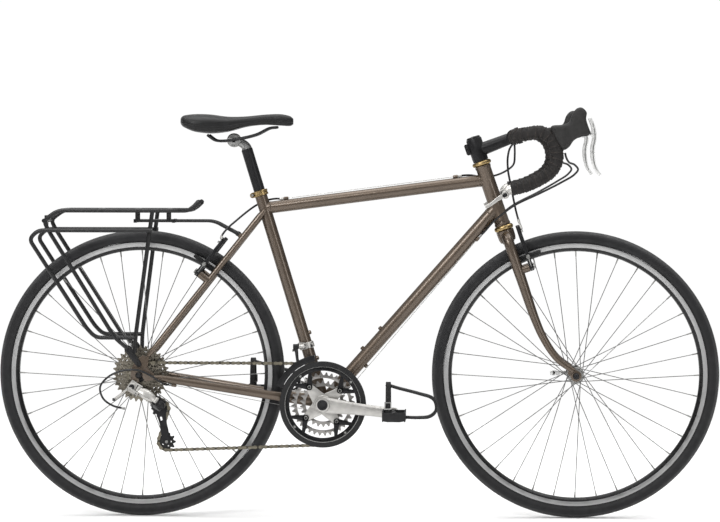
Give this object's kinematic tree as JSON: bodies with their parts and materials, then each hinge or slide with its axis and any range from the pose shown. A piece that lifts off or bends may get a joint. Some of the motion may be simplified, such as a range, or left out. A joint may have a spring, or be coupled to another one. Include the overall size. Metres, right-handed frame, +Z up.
{
  "type": "touring bicycle",
  "caption": "Touring bicycle with drop handlebar, bar-end gear levers, linear-pull rim brakes, triple chainset, derailleurs, rear rack and toe-clip pedals.",
  "frame": {"origin": "on the ground, midway between the two axles, in the bicycle's middle plane", "axes": "+X forward, +Y towards the rider's left, +Z up"},
  "size_m": [1.725, 0.4526, 0.9764],
  "materials": {
    "frame_paint": "metallic brown gloss",
    "black_alloy": "black anodised satin",
    "black_steel": "black powder coat",
    "silver_alloy": "polished",
    "gold_alloy": "gold anodised",
    "steel": "nickel plated",
    "dark_steel": "dark satin",
    "tyre_rubber": "satin black",
    "soft_rubber": "matt black",
    "black_plastic": "matt black",
    "saddle_cover": "smooth black",
    "housing": "gloss black"
  },
  "bodies": {
    "frame": {"frame": "frame_paint", "headset_lower_cup": "gold_alloy", "headset_upper_cup": "gold_alloy", "seat_collar": "gold_alloy", "bottom_bracket": "black_steel", "rack": "black_steel", "rear_skewer": "steel", "front_derailleur": "silver_alloy", "mech_upper_knuckle": "silver_alloy", "chain": "steel", "rear_brake_cable": "housing", "front_shift_cable": "housing", "rear_shift_cable": "housing"},
    "seat": {"seatpost": "black_alloy", "saddle_rails": "black_steel", "saddle": "saddle_cover"},
    "steering": {"fork": "frame_paint", "stem": "black_alloy", "stem_faceplate": "black_alloy", "handlebar": "black_alloy", "bar_tape_left": "soft_rubber", "bar_tape_right": "soft_rubber", "brake_hood_left": "soft_rubber", "brake_hood_right": "soft_rubber", "shifter_pod_left": "silver_alloy", "shifter_pod_right": "silver_alloy", "front_skewer": "steel", "front_brake_cable": "housing"},
    "front_wheel": {"front_tyre": "tyre_rubber", "front_rim": "silver_alloy", "front_hub": "silver_alloy"},
    "rear_wheel": {"rear_tyre": "tyre_rubber", "rear_rim": "silver_alloy", "rear_hub": "silver_alloy"},
    "cassette": {"cassette": "steel"},
    "crank": {"crank_right": "silver_alloy", "crank_left": "silver_alloy", "outer_chainring": "black_alloy", "middle_chainring": "silver_alloy", "inner_chainring": "silver_alloy", "chain_guard": "black_plastic"},
    "mech_outer_link": {"mech_outer_link": "silver_alloy"},
    "mech_inner_link": {"mech_inner_link": "silver_alloy"},
    "mech_lower_knuckle": {"mech_lower_knuckle": "silver_alloy"},
    "mech_cage": {"mech_cage": "dark_steel"},
    "guide_pulley": {"guide_pulley": "black_plastic"},
    "tension_pulley": {"tension_pulley": "black_plastic"},
    "front_derailleur_cage": {"front_derailleur_cage": "dark_steel"},
    "front_quick_lever": {"front_quick_lever": "steel"},
    "rear_quick_lever": {"rear_quick_lever": "steel"},
    "pedal_left": {"pedal_left": "black_plastic"},
    "brake_lever_left": {"brake_lever_left": "silver_alloy"},
    "shift_lever_left": {"shift_lever_left": "silver_alloy"},
    "front_brake_arm_left": {"front_brake_arm_left": "black_alloy"},
    "rear_brake_arm_left": {"rear_brake_arm_left": "black_alloy"},
    "pedal_right": {"pedal_right": "black_plastic"},
    "brake_lever_right": {"brake_lever_right": "silver_alloy"},
    "shift_lever_right": {"shift_lever_right": "silver_alloy"},
    "front_brake_arm_right": {"front_brake_arm_right": "black_alloy"},
    "rear_brake_arm_right": {"rear_brake_arm_right": "black_alloy"}
  },
  "joints": [
    {"name": "steer", "type": "hinge", "parent": "frame", "child": "steering", "pos_m": [0.47383, 0, 0.32728], "axis": [-0.3256, 0, 0.9455], "range_deg": [-60, 60], "deforming": ["front_shift_cable", "rear_shift_cable", "rear_brake_cable"]},
    {"name": "seatpost_slide", "type": "slide", "parent": "frame", "child": "seat", "axis": [-0.2924, 0, 0.9563], "range_m": [-0.06, 0.04]},
    {"name": "front_wheel_spin", "type": "hinge", "parent": "steering", "child": "front_wheel", "pos_m": [0.5195, 0, 0.343], "axis": [0, 1, 0], "continuous": true},
    {"name": "rear_wheel_spin", "type": "hinge", "parent": "frame", "child": "rear_wheel", "pos_m": [-0.5195, 0, 0.343], "axis": [0, 1, 0], "continuous": true},
    {"name": "crank_spin", "type": "hinge", "parent": "frame", "child": "crank", "pos_m": [-0.08195, 0, 0.2737], "axis": [0, 1, 0], "continuous": true, "deforming": ["chain"]},
    {"name": "cassette_spin", "type": "hinge", "parent": "frame", "child": "cassette", "pos_m": [-0.5195, 0, 0.343], "axis": [0, 1, 0], "continuous": true},
    {"name": "pedal_spin_left", "type": "hinge", "parent": "crank", "child": "pedal_left", "pos_m": [-0.25093, 0.085, 0.29235], "axis": [0, 1, 0], "continuous": true},
    {"name": "brake_lever_turn_left", "type": "hinge", "parent": "steering", "child": "brake_lever_left", "pos_m": [0.54363, 0.21, 0.91637], "axis": [0, 1, 0], "range_deg": [0, 28], "stiffness_Nm_per_rad": 0.8},
    {"name": "pedal_spin_right", "type": "hinge", "parent": "crank", "child": "pedal_right", "pos_m": [0.08702, -0.085, 0.25505], "axis": [0, 1, 0], "continuous": true},
    {"name": "brake_lever_turn_right", "type": "hinge", "parent": "steering", "child": "brake_lever_right", "pos_m": [0.54363, -0.21, 0.91637], "axis": [0, 1, 0], "range_deg": [0, 28], "stiffness_Nm_per_rad": 0.8},
    {"name": "shift_lever_turn_right", "type": "hinge", "parent": "steering", "child": "shift_lever_right", "pos_m": [0.34763, -0.21, 0.77437], "axis": [0, -1, 0], "range_deg": [-15, 55]},
    {"name": "shift_lever_turn_left", "type": "hinge", "parent": "steering", "child": "shift_lever_left", "pos_m": [0.34763, 0.21, 0.77437], "axis": [0, -1, 0], "range_deg": [-60, 0]},
    {"name": "front_brake_arm_turn_left", "type": "hinge", "parent": "steering", "child": "front_brake_arm_left", "pos_m": [0.41325, 0.0375, 0.60152], "axis": [0.9455, 0, 0.3256], "range_deg": [0, 3.2], "deforming": ["front_brake_cable"]},
    {"name": "front_brake_arm_turn_right", "type": "hinge", "parent": "steering", "child": "front_brake_arm_right", "pos_m": [0.41325, -0.0375, 0.60152], "axis": [0.9455, 0, 0.3256], "range_deg": [-3.2, 0]},
    {"name": "rear_brake_arm_turn_left", "type": "hinge", "parent": "frame", "child": "rear_brake_arm_left", "pos_m": [-0.38203, 0.0389, 0.58636], "axis": [-0.7843, 0, 0.6204], "range_deg": [-3.2, 0]},
    {"name": "rear_brake_arm_turn_right", "type": "hinge", "parent": "frame", "child": "rear_brake_arm_right", "pos_m": [-0.38203, -0.0389, 0.58636], "axis": [-0.7843, 0, 0.6204], "range_deg": [0, 3.2]},
    {"name": "mech_outer_link_turn", "type": "hinge", "parent": "frame", "child": "mech_outer_link", "pos_m": [-0.51906, -0.08943, 0.3102], "axis": [0.4705, 0.5, 0.7271], "range_deg": [-9.75, 35.75]},
    {"name": "mech_inner_link_turn", "type": "hinge", "parent": "frame", "child": "mech_inner_link", "pos_m": [-0.52259, -0.07817, 0.30474], "axis": [0.4705, 0.5, 0.7271], "range_deg": [-9.75, 35.75]},
    {"name": "mech_knuckle_turn", "type": "hinge", "parent": "mech_outer_link", "child": "mech_lower_knuckle", "pos_m": [-0.47741, -0.08943, 0.28326], "axis": [0.4705, 0.5, 0.7271], "range_deg": [-35.75, 9.75]},
    {"name": "mech_cage_turn", "type": "hinge", "parent": "mech_lower_knuckle", "child": "mech_cage", "pos_m": [-0.466, -0.0545, 0.272], "axis": [0, 1, 0], "range_deg": [-40, 20], "stiffness_Nm_per_rad": 0.4},
    {"name": "guide_pulley_spin", "type": "hinge", "parent": "mech_cage", "child": "guide_pulley", "pos_m": [-0.47, -0.0545, 0.262], "axis": [0, 1, 0], "continuous": true},
    {"name": "tension_pulley_spin", "type": "hinge", "parent": "mech_cage", "child": "tension_pulley", "pos_m": [-0.455, -0.0545, 0.183], "axis": [0, 1, 0], "continuous": true},
    {"name": "front_cage_turn", "type": "hinge", "parent": "frame", "child": "front_derailleur_cage", "pos_m": [-0.14015, -0.036, 0.41], "axis": [1, 0, 0], "range_deg": [0, 12]},
    {"name": "front_quick_lever_turn", "type": "hinge", "parent": "steering", "child": "front_quick_lever", "pos_m": [0.5195, 0.0678, 0.343], "axis": [0, 0, -1], "range_deg": [0, 150]},
    {"name": "rear_quick_lever_turn", "type": "hinge", "parent": "frame", "child": "rear_quick_lever", "pos_m": [-0.5195, 0.0853, 0.343], "axis": [0, 0, -1], "range_deg": [0, 150]}
  ],
  "couplings": [
    {"joint": "cassette_spin", "follows": "crank_spin", "ratio": 3.4286},
    {"joint": "tension_pulley_spin", "follows": "crank_spin", "ratio": 4.8},
    {"joint": "guide_pulley_spin", "follows": "crank_spin", "ratio": -4.8},
    {"joint": "front_brake_arm_turn_left", "follows": "brake_lever_turn_left", "ratio": 0.114},
    {"joint": "front_brake_arm_turn_right", "follows": "brake_lever_turn_left", "ratio": -0.114},
    {"joint": "rear_brake_arm_turn_left", "follows": "brake_lever_turn_right", "ratio": -0.114},
    {"joint": "rear_brake_arm_turn_right", "follows": "brake_lever_turn_right", "ratio": 0.114},
    {"joint": "mech_outer_link_turn", "follows": "shift_lever_turn_right", "ratio": 0.65},
    {"joint": "mech_inner_link_turn", "follows": "shift_lever_turn_right", "ratio": 0.65},
    {"joint": "mech_knuckle_turn", "follows": "shift_lever_turn_right", "ratio": -0.65},
    {"joint": "front_cage_turn", "follows": "shift_lever_turn_left", "ratio": -0.2}
  ]
}
